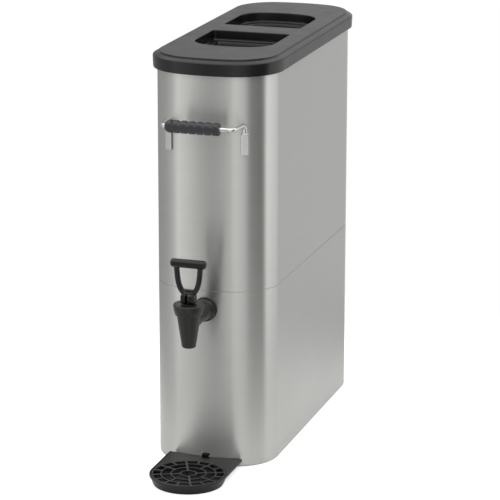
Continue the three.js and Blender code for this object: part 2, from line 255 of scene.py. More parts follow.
def route(corners, bend, pitch=1.5, steps=8):
    """Points along straight runs with a round bend at each inner corner."""
    points = [Vector(corners[0])]
    for i, corner in enumerate(corners[1:], 1):
        target = Vector(corner)
        last = i == len(corners) - 1
        before = target if last else target + (points[-1] - target).normalized() * bend
        run = before - points[-1]
        count = max(1, round(run.length / pitch))
        start = points[-1]
        points += [start + run * k / count for k in range(1, count + 1)]
        if last:
            break
        after = target + (Vector(corners[i + 1]) - target).normalized() * bend
        for k in range(1, steps + 1):
            t = k / steps
            points.append(before * (1 - t) ** 2 + target * 2 * t * (1 - t) + after * t * t)
    return points


def swept(points, section_at, side, capped=True):
    """A shell along points; section_at(index) gives (sideways, outwards) pairs."""
    shell = Shell()
    sections = []
    side = Vector(side).normalized()
    for i, p in enumerate(points):
        ahead = points[min(i + 1, len(points) - 1)] - points[max(i - 1, 0)]
        ahead.normalize()
        side = (side - ahead * side.dot(ahead)).normalized()
        up = ahead.cross(side)
        sections.append([p + side * a + up * b for a, b in section_at(i)])
    shell.loft(sections, capped=capped)
    return shell


def slab(size, centre, radius=0.8, steps=3):
    """A block with rounded edges."""
    half = Vector(size) / 2
    shell = Shell()
    sections = []
    quarters = [math.pi / 2 * k / steps for k in range(steps + 1)]
    for z_side in (-1, 1):
        for a in quarters if z_side < 0 else quarters[::-1]:
            inset = radius * (1 - math.sin(a))
            lift = half.z - radius * (1 - math.cos(a))
            section = []
            for corner, (cx, cy) in enumerate(((1, 1), (-1, 1), (-1, -1), (1, -1))):
                for q in quarters:
                    turn = q + corner * math.pi / 2
                    reach = radius - inset
                    section.append(
                        (
                            centre[0] + cx * (half.x - radius) + reach * math.cos(turn),
                            centre[1] + cy * (half.y - radius) + reach * math.sin(turn),
                            centre[2] + z_side * lift,
                        )
                    )
            sections.append(section)
    shell.loft(sections)
    return shell


def mesh_of(name, shell):
    """A mesh in the model's frame, in metres, with its faces turned outwards."""
    bm = bmesh.new()
    verts = [bm.verts.new((x * MM, (y + FRAME_Y) * MM, z * MM)) for x, y, z in shell.verts]
    for face in shell.faces:
        bm.faces.new([verts[i] for i in face])
    bmesh.ops.remove_doubles(bm, verts=bm.verts, dist=2e-7)
    bmesh.ops.recalc_face_normals(bm, faces=bm.faces)
    mesh = bpy.data.meshes.new(name)
    bm.to_mesh(mesh)
    bm.free()
    return mesh


def fill_flat(shell, rings):
    """Triangles over the flat area inside the first ring and outside the others."""
    bm = bmesh.new()
    index = {}
    edges = []
    for ring in rings:
        verts = [bm.verts.new(shell.verts[i]) for i in ring]
        for vert, i in zip(verts, ring):
            index[vert] = i
        edges += [bm.edges.new((a, b)) for a, b in zip(verts, verts[1:] + verts[:1])]
    made = bmesh.ops.triangle_fill(bm, use_beauty=True, use_dissolve=False, edges=edges)
    for face in made["geom"]:
        if isinstance(face, bmesh.types.BMFace):
            shell.faces.append(tuple(index[v] for v in face.verts))
    bm.free()


def applied(obj):
    """Applies an object's modifiers to its mesh."""
    bpy.context.view_layer.update()
    mesh = bpy.data.meshes.new_from_object(obj.evaluated_get(bpy.context.evaluated_depsgraph_get()))
    obj.modifiers.clear()
    obj.data = mesh
    return obj


def loose(name, shell):
    obj = bpy.data.objects.new(name, mesh_of(name, shell))
    bpy.context.scene.collection.objects.link(obj)
    return obj


def cut(obj, *shells):
    """Takes closed shells out of an object's mesh."""
    for shell in shells:
        tool = loose("cutter", shell)
        boolean = obj.modifiers.new("cut", "BOOLEAN")
        boolean.operation = "DIFFERENCE"
        boolean.solver = "EXACT"
        boolean.object = tool
        applied(obj)
        bpy.data.objects.remove(tool)
    return obj


def moulded(name, shell, voxel=0.42, smoothing=6, keep=0.3):
    """Closed shells that overlap, joined into one moulding with soft inner corners."""
    obj = loose(name, shell)
    remesh = obj.modifiers.new("join", "REMESH")
    remesh.mode = "VOXEL"
    remesh.voxel_size = voxel * MM
    smooth = obj.modifiers.new("soften", "SMOOTH")
    smooth.factor = 0.5
    smooth.iterations = smoothing
    thin = obj.modifiers.new("thin", "DECIMATE")
    thin.ratio = keep
    return applied(obj)


def dressed(obj, name, material, body, nodes, sharp=36):
    """Gives a finished mesh its name, material, shading and body, and hides the CAD nodes it stands
    in for.
    """
    obj.name = name
    obj.data.name = name
    obj.data.materials.clear()
    obj.data.materials.append(material)
    obj.data.shade_smooth()
    obj.data.set_sharp_from_angle(angle=math.radians(sharp))
    weighted = obj.modifiers.new("weighted", "WEIGHTED_NORMAL")
    weighted.keep_sharp = True
    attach(obj, body)
    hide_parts(*nodes)
    return obj


def built(name, shell, material, body, nodes, sharp=36):
    return dressed(loose(name, shell), name, material, body, nodes, sharp)


# ---- Materials --------------------------------------------------------------------------------
class Nodes:
    """Short ways to make and link the nodes of one material."""

    def __init__(self, name):
        self.material = bpy.data.materials.new(name)
        self.material.use_nodes = True
        self.tree = self.material.node_tree
        self.shader = self.tree.nodes["Principled BSDF"]
        self.coords = self.tree.nodes.new("ShaderNodeTexCoord")

    def make(self, kind, **values):
        node = self.tree.nodes.new(kind)
        for key, value in values.items():
            setattr(node, key, value)
        return node

    def link(self, a, b):
        self.tree.links.new(a, b)

    def noise(self, stretch, detail=3, roughness=0.55):
        """Noise over the object's own coordinates, in cycles a metre along each axis."""
        mapping = self.make("ShaderNodeMapping")
        mapping.inputs["Scale"].default_value = stretch
        self.link(self.coords.outputs["Object"], mapping.inputs["Vector"])
        noise = self.make("ShaderNodeTexNoise")
        noise.inputs["Scale"].default_value = 1
        noise.inputs["Detail"].default_value = detail
        noise.inputs["Roughness"].default_value = roughness
        self.link(mapping.outputs["Vector"], noise.inputs["Vector"])
        return noise.outputs["Fac"]

    def spread(self, value, low, high):
        """Noise from its usual range to low..high."""
        node = self.make("ShaderNodeMapRange")
        node.inputs["From Min"].default_value = 0.3
        node.inputs["From Max"].default_value = 0.7
        node.inputs["To Min"].default_value = low
        node.inputs["To Max"].default_value = high
        self.link(value, node.inputs["Value"])
        return node.outputs["Result"]

    def tint(self, value, dark, light):
        node = self.make("ShaderNodeMix", data_type="RGBA")
        node.inputs["A"].default_value = (*dark, 1)
        node.inputs["B"].default_value = (*light, 1)
        self.link(value, node.inputs["Factor"])
        return node.outputs["Result"]

    def bump(self, value, strength, distance, under=None):
        node = self.make("ShaderNodeBump")
        node.inputs["Strength"].default_value = strength
        node.inputs["Distance"].default_value = distance * MM
        self.link(value, node.inputs["Height"])
        if under:
            self.link(under, node.inputs["Normal"])
        return node.outputs["Normal"]


def brushed_steel(name, dark, light, roughness, grain, anisotropy):
    """Stainless sheet whose grain runs level around the body and smears lights up and down."""
    n = Nodes(name)
    lines = n.noise((9, 9, 1500), detail=4, roughness=0.7)
    streaks = n.noise((1.2, 1.2, 95), detail=5, roughness=0.6)
    clouds = n.noise((7, 7, 4), detail=2)
    n.link(n.tint(streaks, dark, light), n.shader.inputs["Base Color"])
    both = n.make("ShaderNodeMath", operation="ADD")
    n.link(n.spread(lines, roughness - 0.05, roughness + 0.05), both.inputs[0])
    n.link(n.spread(clouds, -0.015, 0.02), both.inputs[1])
    n.link(both.outputs[0], n.shader.inputs["Roughness"])
    n.link(n.bump(lines, grain, 0.05), n.shader.inputs["Normal"])
    n.shader.inputs["Metallic"].default_value = 1
    n.shader.inputs["Anisotropic"].default_value = anisotropy
    n.shader.inputs["Anisotropic Rotation"].default_value = 0.25
    tangent = n.make("ShaderNodeTangent", direction_type="RADIAL", axis="Z")
    n.link(tangent.outputs["Tangent"], n.shader.inputs["Tangent"])
    return n.material


def rod_steel(name):
    """Polished bar with fine drawing marks and slight smears."""
    n = Nodes(name)
    marks = n.noise((260, 260, 260), detail=4)
    smears = n.noise((45, 45, 45), detail=2)
    n.link(n.tint(smears, (0.60, 0.60, 0.59), (0.68, 0.68, 0.67)), n.shader.inputs["Base Color"])
    n.link(n.spread(marks, 0.12, 0.22), n.shader.inputs["Roughness"])
    n.link(n.bump(marks, 0.06, 0.05), n.shader.inputs["Normal"])
    n.shader.inputs["Metallic"].default_value = 1
    return n.material


def plastic(name, dark, light, roughness, texture, depth, specular=0.5):
    """Moulded plastic: a fine cast texture, cloudy gloss and a faint change of shade."""
    n = Nodes(name)
    skin = n.noise((texture,) * 3, detail=3, roughness=0.6)
    clouds = n.noise((28, 28, 28), detail=3)
    n.link(n.tint(clouds, dark, light), n.shader.inputs["Base Color"])
    n.link(n.spread(clouds, roughness - 0.04, roughness + 0.05), n.shader.inputs["Roughness"])
    n.link(n.bump(skin, depth, 0.06), n.shader.inputs["Normal"])
    n.shader.inputs["Specular IOR Level"].default_value = specular
    return n.material


BODY_STEEL = brushed_steel(
    "brushed_steel", (0.505, 0.503, 0.486), (0.54, 0.538, 0.52), 0.33, 0.12, 0.85
)
INNER_STEEL = brushed_steel("inner_steel", (0.47, 0.47, 0.46), (0.53, 0.53, 0.52), 0.36, 0.1, 0.5)
HANDLE_STEEL = rod_steel("handle_steel")
LID_PLASTIC = plastic(
    "lid_plastic", (0.003, 0.003, 0.0032), (0.0045, 0.0045, 0.0048), 0.25, 1500, 0.05, 0.4
)
FAUCET_PLASTIC = plastic(
    "faucet_plastic", (0.010, 0.009, 0.0085), (0.014, 0.013, 0.012), 0.33, 900, 0.05, 0.4
)
LEVER_PLASTIC = plastic(
    "lever_plastic", (0.001, 0.001, 0.0011), (0.002, 0.002, 0.0022), 0.13, 900, 0.03, 0.42
)
TRAY_PLASTIC = plastic(
    "tray_plastic", (0.002, 0.002, 0.0021), (0.0035, 0.0035, 0.0036), 0.3, 1100, 0.08, 0.4
)
GRID_PLASTIC = plastic(
    "grid_plastic", (0.012, 0.012, 0.012), (0.018, 0.018, 0.018), 0.34, 1100, 0.08, 0.5
)
GRIP_RUBBER = plastic(
    "grip_rubber", (0.013, 0.013, 0.018), (0.020, 0.020, 0.026), 0.33, 1300, 0.1, 0.6
)
SEAL_RUBBER = plastic("seal_rubber", (0.008, 0.008, 0.008), (0.014, 0.014, 0.014), 0.7, 1200, 0.2)
SILICONE = plastic("silicone", (0.42, 0.40, 0.36), (0.50, 0.48, 0.43), 0.5, 700, 0.05)
NUT_PLASTIC = plastic("nut_plastic", (0.016, 0.016, 0.017), (0.024, 0.024, 0.025), 0.45, 900, 0.1)


# ---- Tank -------------------------------------------------------------------------------------
def disc_tool(radius, start, end, change):
    """A closed cylinder to cut with, placed by change."""
    points = [(0, start), (radius, start), (radius, end), (0, end)]
    return turned(points, 48).moved(change)


def shank_hole():
    return disc_tool(SHANK_HOLE, 52, 76, at_shank)


def tank_wall():
    profile = rounded(
        [
            (-JOGGLE, TANK_BOTTOM_Z, 0.3),
            (-JOGGLE, 200.5, 0),
            (-JOGGLE, 220.5, 0),
            (-JOGGLE, SEAM_Z + SEAM_GAP, 0.3),
            (0, SEAM_Z + SEAM_GAP, 0.55),
            (0, HEM_Z, 0.3),
            (HEM, HEM_Z, 0.5),
            (HEM, RIM_Z, 0.9),
            (-SHEET, RIM_Z, 0.6),
            (-SHEET, SEAM_Z + SHEET + 0.4, 0.5),
            (-JOGGLE - SHEET, SEAM_Z + SHEET - 0.4, 0.5),
            (-JOGGLE - SHEET, 220.5, 0),
            (-JOGGLE - SHEET, 200.5, 0),
            (-JOGGLE - SHEET, TANK_BOTTOM_Z, 0.3),
        ]
    )
    shell = Shell()
    shell.loft(around(TANK, profile), closed=True)
    obj = cut(loose("tank_wall_look", shell), shank_hole())
    return dressed(
        obj, "tank_wall_look", BODY_STEEL, "tank", ["tank_wall"]
    )


def base_skirt():
    profile = rounded(
        [
            (0, SEAM_Z, 0.25),
            (0, 220.5, 0),
            (0, 200.5, 0),
            (0, 18.5, 0),
            (0, 9.5, 0),
            (0, 0, 2.4),
            (-FOOT, 0, 0.4),
            (-FOOT, SHEET, 0.4),
            (-SHEET, SHEET, 1.4),
            (-SHEET, 9.5, 0),
            (-SHEET, 18.5, 0),
            (-SHEET, 200.5, 0),
            (-SHEET, 220.5, 0),
            (-SHEET, SEAM_Z, 0.4),
        ]
    )
    shell = Shell()
    shell.loft(around(TANK, profile), closed=True)
    slot = slab((10.8, 14, 5.2), (0, -212, 14), 0.9)
    obj = cut(loose("base_skirt_look", shell), shank_hole(), slot)
    return dressed(
        obj, "base_skirt_look", BODY_STEEL, "tank", ["base_skirt"]
    )


def tank_floor():
    """Pan that falls towards the faucet, with an up-turned lip."""
    edge = -JOGGLE - SHEET - GAP
    fall = (PAN_REAR_Z - PAN_FRONT_Z) / (2 * TANK[1])
    middle_z = (PAN_REAR_Z + PAN_FRONT_Z) / 2

    def pan(offset, lift):
        return [(x, y, middle_z + fall * y + lift) for x, y in outline(TANK, offset)]

    sections = [pan(edge - 3, -0.5), pan(edge - 1.2, -0.4), pan(edge - 0.2, 0.6), pan(edge, 2)]
    lip = PAN_LIP_Z
    sections += around(TANK, [(edge, lip - 0.2), (edge - 0.3, lip), (edge - 0.8, lip)])
    sections += around(TANK, [(edge - SHEET, lip - 0.2)])
    sections += [pan(edge - SHEET, 2.6), pan(edge - 1.6, 1.1), pan(edge - 3, 0.5)]
    shell = Shell()
    shell.loft(sections)
    return built(
        "tank_floor_look", shell, INNER_STEEL, "tank", ["tank_floor"]
    )


# ---- Lid --------------------------------------------------------------------------------------
def pocket_ring(side, inset, corner, z):
    """Outline of the hand pocket on one side of the grab bar, drawn in by inset."""
    half_width, half_length, round_end, bow = POCKET
    side_x = half_width - round_end
    bow_y = half_length - bow
    sweep = math.asin(side_x / (bow - round_end))
    corner_y = bow_y + (bow - round_end) * math.cos(sweep)
    quarter = math.pi / 2
    x = half_width - inset - corner
    y = BAR_HALF + inset + corner
    points = arc(x, y, corner, -quarter, 0, 6)
    points += arc(side_x, corner_y, round_end - inset, 0, quarter - sweep, 18)
    points += arc(0, bow_y, bow - inset, quarter - sweep, quarter + sweep, 12)[1:]
    points += arc(-side_x, corner_y, round_end - inset, quarter + sweep, 2 * quarter, 18)[1:]
    points += arc(-x, y, corner, 2 * quarter, 3 * quarter, 6)
    return [(side * px, side * py, z) for px, py in points]


def pocket_inside(side):
    """Sections of a pocket from the lid's top down to its stepped floor."""
    floor = POCKET_FLOOR_Z
    steps = [
        (-1.1, 6.2, LID_TOP_Z),
        (-0.5, 5.8, LID_TOP_Z - 0.2),
        (-0.1, 5.4, LID_TOP_Z - 0.7),
        (0.05, 5.2, LID_TOP_Z - 1.5),
        (0.7, 4.8, floor + 3),
        (1.0, 4.6, floor + 1.4),
        (1.8, 4.2, floor + 0.4),
        (3.2, 3.8, floor),
        (9.5, 3, floor),
        (10.2, 3, floor - 0.2),
        (10.7, 2.8, floor - 0.8),
        (11, 2.8, floor - 1.8),
        (11.4, 2.6, floor - 2.6),
        (12.4, 2.4, floor - 3),
    ]
    return [pocket_ring(side, inset, corner, z) for inset, corner, z in steps]


def pocket_outside(side, ceiling):
    """Sections of the tub under a pocket, from the lid's ceiling down."""
    floor = POCKET_FLOOR_Z - 5.4
    steps = [
        (-3.4, 8, ceiling),
        (-2.6, 7.4, ceiling - 0.3),
        (-2.3, 7, ceiling - 1.2),
        (-1.6, 6.4, floor + 2),
        (-1, 6, floor + 0.6),
        (0.4, 5, floor),
    ]
    return [pocket_ring(side, inset, corner, z) for inset, corner, z in steps]


def lid_cover():
    ceiling = LID_TOP_Z - 2.5
    over = LID_OVER
    profile = rounded(
        [
            (-6.2, ceiling, 0),
            (-5.4, ceiling, 0.8),
            (-5.4, 502, 0.5),
            (-3.2, 502, 0.5),
            (-3.2, RIM_Z + GAP, 0.6),
            (over - 2.9, RIM_Z + GAP, 1.2),
            (over - 2.9, LID_BOTTOM_Z, 0.5),
            (over - 0.5, LID_BOTTOM_Z, 0.6),
            (over + 0.15, 529.6, 2.6),
            (over - 5.2, 532.5, 3),
            (-1.6, 532.9, 0.35),
            (-2.3, LID_TOP_Z, 0.9),
            (-5.2, LID_TOP_Z, 0),
        ],
        closed=False,
    )
    shell = Shell()
    rings = shell.loft(around(TANK, profile), capped=False)
    openings = []
    tubs = []
    for side in (-1, 1):
        inside = shell.loft(pocket_inside(side), capped=False)
        shell.cap(inside[-1])
        openings.append(inside[0])
        outside = shell.loft(pocket_outside(side, ceiling), capped=False)
        shell.cap(outside[-1])
        tubs.append(outside[0])
    fill_flat(shell, [rings[-1], *openings])
    fill_flat(shell, [rings[0], *tubs])
    return built("lid_look", shell, LID_PLASTIC, "lid", ["lid_cover"])


# ---- Grab handles -----------------------------------------------------------------------------
TAB_X = 50
TAB_TOP_Z = 441
TAB_BOTTOM_Z = 414
TAB_HALF = (5.25, 1.3)


def handle_rod():
    """The front rod: one half from its flat tab to the middle of the bar, and its mirror."""
    corner = TANK[2]
    side_x = TANK[0] - corner
    bow_y = TANK[1] - TANK[3]
    sweep = math.asin(side_x / (TANK[3] - corner))
    corner_y = bow_y + (TANK[3] - corner) * math.cos(sweep)
    lean = math.asin((TAB_X - side_x) / corner)
    out = corner + 0.15 + TAB_HALF[1]
    x = side_x + out * math.sin(lean)
    y = -corner_y - out * math.cos(lean)
    rod_y = y - ROD_RADIUS + TAB_HALF[1] + 0.4
    bar_y = -TANK[1] - HANDLE_OUT
    tab = [Vector((x, y, z)) for z in (TAB_BOTTOM_Z, TAB_BOTTOM_Z + 0.4, TAB_BOTTOM_Z + 1.2)]
    tab += [Vector((x, y, TAB_BOTTOM_Z + 3 * k)) for k in range(1, 9)]
    shift = Vector((0, rod_y - y, 0))
    swell = [k / 8 for k in range(1, 9)]
    for t in swell:
        soft = t * t * (3 - 2 * t)
        tab.append(Vector((x, y, TAB_TOP_Z - 2.5 + 7 * t)) + shift * soft)
    corners = [tab[-1], (x, rod_y, HANDLE_Z), (ROD_ARM_X, bar_y, HANDLE_Z), (0, bar_y, HANDLE_Z)]
    points = tab + route(corners, ROD_BEND)[1:]
    flat_count = len(tab) - len(swell)

    def section(i):
        t = min(max((i - flat_count + 1) / len(swell), 0), 1)
        soft = t * t * (3 - 2 * t)
        width = TAB_HALF[0] + (ROD_RADIUS - TAB_HALF[0]) * soft
        depth = TAB_HALF[1] + (ROD_RADIUS - TAB_HALF[1]) * soft
        end = (0.82, 0.93, 0.99)[i] if i < 3 else 1
        return bow_section(width * end, depth * end, 2 + 5 * (1 - soft))

    right = swept(points, section, (math.cos(lean), math.sin(lean), 0), capped=False)
    count = len(section(0))
    right.cap(range(count))
    left = right.moved(lambda px, py, pz: (-px, py, pz))
    return right.add(left)


def grip_radius(along, angle):
    """Radius of the sleeve: a smooth band with finger pads on its upper and lower faces."""
    length = GRIP_TO - GRIP_FROM
    pitch = 10.4
    first_groove = 9.3
    pads = 6
    up = abs(math.remainder(angle, 2 * math.pi))
    place = (along - first_groove) / pitch
    swell = 0
    for face, groove, width in ((up, 0.5, 1.1), (math.pi - up, 0.3, 0.55)):
        if place < 0 or place > pads:
            notch = 1
        else:
            notch = 1 - math.exp(-(((place - round(place)) * pitch / (1.7 * width)) ** 2))
        spread = max(1 - (face / math.radians(76)) ** 2.6, 0)
        swell = max(swell, spread ** 0.6 * (groove + (1 - groove) * notch) - (1 - notch) * 0.7)
    radius = 7.05 + 1.25 * swell
    bulb = along / 6.5
    if bulb < 1:
        radius = min(radius, 8.3 * math.sqrt(max(1 - (1 - bulb) ** 2 * 0.72, 0)))
    end = (length - along) / 0.8
    if end < 1:
        radius -= 0.8 * (1 - math.sqrt(max(1 - (1 - end) ** 2, 0)))
    return radius


def handle_grip():
    """Sleeve over the front rod, bored through."""
    length = GRIP_TO - GRIP_FROM
    bar_y = -TANK[1] - HANDLE_OUT
    bore = ROD_RADIUS + 0.15
    stations = [0, 0.15, 0.5, 1, 1.7, 2.6, 3.6, 4.8, 6, 7.5, 9]
    stations += [9.6 + 0.65 * k for k in range(93)]
    stations = [s for s in stations if s < length - 1.2]
    stations += [length - 0.8, length - 0.5, length - 0.25, length - 0.08, length]
    segments = 56
    angles = [2 * math.pi * k / segments for k in range(segments)]

    def ring(along, radius_at):
        x = GRIP_FROM + along
        reach = [(a, radius_at(along, a)) for a in angles]
        return [(x, bar_y - r * math.sin(a), HANDLE_Z + r * math.cos(a)) for a, r in reach]

    sections = [ring(s, grip_radius) for s in stations]
    sections += [ring(s, lambda along, a: bore) for s in (length, length - 6, 6, 0)]
    shell = Shell()
    shell.loft(sections, closed=True)
    return shell


def grab_handles():
    rod = handle_rod()
    grip = handle_grip()
    for end, sign in (("front", 1), ("rear", -1)):

        def turn(x, y, z, sign=sign):
            return sign * x, sign * y, z

        built(
            end + "_rod_look",
            rod.moved(turn),
            HANDLE_STEEL,
            "tank",
            [end + "_handle_rod"],
            50,
        )
        built(
            end + "_grip_look",
            grip.moved(turn),
            GRIP_RUBBER,
            "tank",
            [end + "_handle_grip"],
            50,
        )


# ---- Faucet -----------------------------------------------------------------------------------
def faucet_body():
    spout = turned(
        rounded(
            [
                (0, SPOUT_TIP_Z, 0),
                (8.8, SPOUT_TIP_Z, 1.8),
                (15.3, COLLAR_BOTTOM_Z, 0.8),
                (15.3, SPOUT_TOP_Z, 0.4),
                (0, SPOUT_TOP_Z, 0),
            ],
            closed=False,
        ),
        72,
    )
    neck = turned(
        rounded(
            [
                (0, 2, 0),
                (9.4, 2, 0),
                (9.6, 24, 20),
                (12.4, 55.5, 1.5),
                (14.9, 57.6, 0.8),
                (14.9, FLANGE_Y, 0.6),
                (0, FLANGE_Y, 0),
            ],
            closed=False,
        ),
        64,
    ).moved(along_y)
    # Rib under the branch, from the spout up to the flange.
    rib = Shell()
    side = [(9, 190), (12.5, 191), (24, 197.5), (44, 199.5), (44, 206), (9, 206)]
    rib.loft([[(x, y, z) for y, z in side] for x in (-3.6, 3.6)])
    blend = spout.add(neck).add(rib)
    obj = moulded("faucet_body_look", blend.moved(at_faucet))
    cut(
        obj,
        disc_tool(30, SPOUT_TOP_Z - 0.1, SPOUT_TOP_Z + 10, at_faucet),
        disc_tool(CHAMBER, CHAMBER_Z, SPOUT_TOP_Z + 2, at_faucet),
        disc_tool(OUTLET, SPOUT_TIP_Z - 10, CHAMBER_Z + 1, at_faucet),
        disc_tool(BORE, 0, 70, at_shank),
    )
    return obj


def shank():
    """Threaded tube that passes through the tank wall."""
    start = FLANGE_Y - 0.6
    thread_start = 68.5
    pitch = 1.25
    root = SHANK_RADIUS - 0.7
    profile = [(BORE, start), (SHANK_RADIUS, start), (SHANK_RADIUS, thread_start - 0.5)]
    for k in range(12):
        y = thread_start + pitch * k
        profile += [(root, y), (root, y + 0.25), (SHANK_RADIUS, y + 0.6), (SHANK_RADIUS, y + 0.85)]
    end = SHANK_END
    profile += [(root + 0.1, end - 1.3), (root + 0.1, end - 0.4), (root - 0.3, end), (BORE, end)]
    return turned(profile, 48, closed=True).moved(at_shank)


def joined(obj, shell):
    """Adds a shell to an object's mesh."""
    other = mesh_of("extra", shell)
    bm = bmesh.new()
    bm.from_mesh(obj.data)
    bm.from_mesh(other)
    bm.to_mesh(obj.data)
    bm.free()
    bpy.data.meshes.remove(other)
    return obj


def faucet_bonnet():
    """Screwed collar with a crisp shoulder and a flat top."""
    profile = rounded(
        [
            (15.6, COLLAR_BOTTOM_Z, 0.3),
            (17.4, COLLAR_BOTTOM_Z, 0.9),
            (18.9, COLLAR_BOTTOM_Z + 6, 6),
            (19.6, COLLAR_TOP_Z - 1.5, 0.7),
            (18.6, COLLAR_TOP_Z - 0.1, 0.8),
            (5, COLLAR_TOP_Z, 0.4),
            (5, COLLAR_TOP_Z - 4, 0),
            (11.5, COLLAR_TOP_Z - 4, 0),
            (11.5, SPOUT_TOP_Z + GAP, 0),
            (15.6, SPOUT_TOP_Z + GAP, 0),
        ]
    )
    shell = turned(profile, 96, closed=True).moved(at_faucet)
    return loose("faucet_bonnet_look", shell)


def washer(inner, outer, start, end, edge=0.4):
    corners = [(inner, start, edge / 2), (outer, start, edge), (outer, end, edge)]
    corners.append((inner, end, edge / 2))
    shell = turned(rounded(corners, 3), 64, closed=True)
    return shell.moved(at_shank)


def hex_nut(start, end):
    """Chamfered nut on the shank."""
    flat = 25 / 2
    shell = Shell()
    sections = []
    for y, cone in ((start, 12.9), (start + 1.2, 14.3), (end - 1.2, 14.3), (end, 12.9)):
        ring = []
        for k in range(72):
            a = 2 * math.pi * k / 72
            to_face = math.remainder(a, math.pi / 3)
            r = min(flat / math.cos(to_face), cone)
            ring.append((r * math.cos(a), r * math.sin(a), y))
        sections.append(ring)
    for y in (end, start):
        circle = arc(0, 0, 8, 0, 2 * math.pi, 72)[:-1]
        sections.append([(x, z, y) for x, z in circle])
    shell.loft(sections, closed=True)
    return shell.moved(at_shank)


# Middle line of one arm of the lever, out from the middle and down from the pull bar.
LEVER_ARM = ((15.4, 1), (15.3, 8.5), (13.9, 21.5), (12.2, 28.5), (10, 33.5), (6.5, 37.7), (3, 39.5))


def lever():
    """Domed pull bar on a wide U of two arms that meet over the clevis."""
    pull = rounded([(0, -23.3, 0), (5.6, -23.3, 3.4), (5.6, 23.3, 3.4), (0, 23.3, 0)], 7, False)
    shell = turned(pull, 48).moved(along_x).moved(lambda x, y, z: (x, y, z + PULL_Z))
    for side in (-1, 1):
        path = smooth_path([(side * out, 0, PULL_Z - down) for out, down in LEVER_ARM])
        shell.add(swept(path, lambda i: bow_section(3.4, 3.8, 2.4, 20), (1, 0, 0)))
    shell.add(slab((14, 4, 11), (0, 0, PULL_Z - 38.5), 1.6))
    shell.add(slab((18, 9, 9), (0, 0, PULL_Z - 41), 2.8))
    shell.add(slab((18.4, 13, 11), (0, 0, PIN_Z - 0.2), 1.5))
    obj = moulded("handle_look", shell.moved(at_faucet), voxel=0.4, smoothing=4, keep=0.35)
    slot = slab((5.6, 30, 15), (0, 0, PIN_Z - 1.4), 0.6).moved(at_faucet)
    cut(obj, slot, pin_tool(1.75, 12))
    return obj


def pin_tool(radius, half):
    """A closed bar to cut the lever with, through its pin's hole."""
    tool = turned([(0, -half), (radius, -half), (radius, half), (0, half)], 32)
    return tool.moved(along_x).moved(at_pin)


def smooth_path(points, pieces=6):
    """Points along a Catmull-Rom curve through the given ones."""
    knots = [Vector(p) for p in points]
    knots = [2 * knots[0] - knots[1], *knots, 2 * knots[-1] - knots[-2]]
    path = [knots[1]]
    for a, b, c, d in zip(knots, knots[1:], knots[2:], knots[3:]):
        for k in range(1, pieces + 1):
            t = k / pieces
            path.append(
                0.5
                * (
                    2 * b
                    + (c - a) * t
                    + (2 * a - 5 * b + 4 * c - d) * t * t
                    + (3 * b - a - 3 * c + d) * t ** 3
                )
            )
    return path


def pin():
    ends = rounded([(0, -8.7, 0), (1.5, -8.7, 0.4), (1.5, 8.7, 0.4), (0, 8.7, 0)], 3, False)
    return turned(ends, 28).moved(along_x).moved(at_pin)


def faucet():
    body = joined(faucet_body(), shank())
    dressed(
        body, "faucet_body_look", FAUCET_PLASTIC, "tank", ["faucet_body"], 40
    )
    dressed(
        faucet_bonnet(),
        "faucet_bonnet_look",
        FAUCET_PLASTIC,
        "tank",
        ["faucet_bonnet"],
    )
    dressed(
        lever(),
        "handle_look",
        LEVER_PLASTIC,
        "faucet_lever",
        ["faucet_handle"],
        40,
    )
    built(
        "outer_washer_look",
        washer(8, 15.7, 61.7, 63.7),
        SEAL_RUBBER,
        "tank",
        ["faucet_washer_outer"],
    )
    built(
        "nut_look", hex_nut(71.1, 79.1), NUT_PLASTIC, "tank", ["faucet_nut"], 25
    )
    built("pin_look", pin(), HANDLE_STEEL, "faucet_valve", ["faucet_handle_pin"])


# ---- Drip tray --------------------------------------------------------------------------------
def tray_ring(inset, z, back_z=None):
    """The tray's U outline drawn in by inset, with the height of its back edge given apart."""
    bow = TANK[3] + 0.8 + inset
    bow_y = TRAY_REACH + TANK[3]
    corner = 7 - inset
    corner_x = TRAY_RADIUS - inset - corner
    edge_y = bow_y - math.sqrt(bow ** 2 - corner_x ** 2)
    half = math.asin(corner_x / bow)
    quarter = math.pi / 2
    back_z = z if back_z is None else back_z
    points = arc(0, 0, TRAY_RADIUS - inset, math.pi, 2 * math.pi, 60)
    sides = 6
    side_top = edge_y - corner
    points += [(TRAY_RADIUS - inset, side_top * k / sides) for k in range(1, sides)]
    points += arc(corner_x, side_top, corner, 0, quarter, 8)
    front = len(points)
    points += arc(0, bow_y, bow, -quarter + half, -quarter - half, 24)[1:-1]
    back = len(points)
    points += arc(-corner_x, side_top, corner, quarter, 2 * quarter, 8)
    points += [(-TRAY_RADIUS + inset, side_top * k / sides) for k in range(sides - 1, 0, -1)]
    ring = []
    for i, (x, y) in enumerate(points):
        ring.append((x, y, back_z if front - 4 <= i < back + 4 else z))
    return ring


def tray_circle(radius, z):
    """A circle with one point for each point of the outline, in the same direction."""
    ring = []
    for x, y, _ in tray_ring(0, 0):
        length = math.hypot(x, y)
        ring.append((radius * x / length, radius * y / length, z))
    return ring


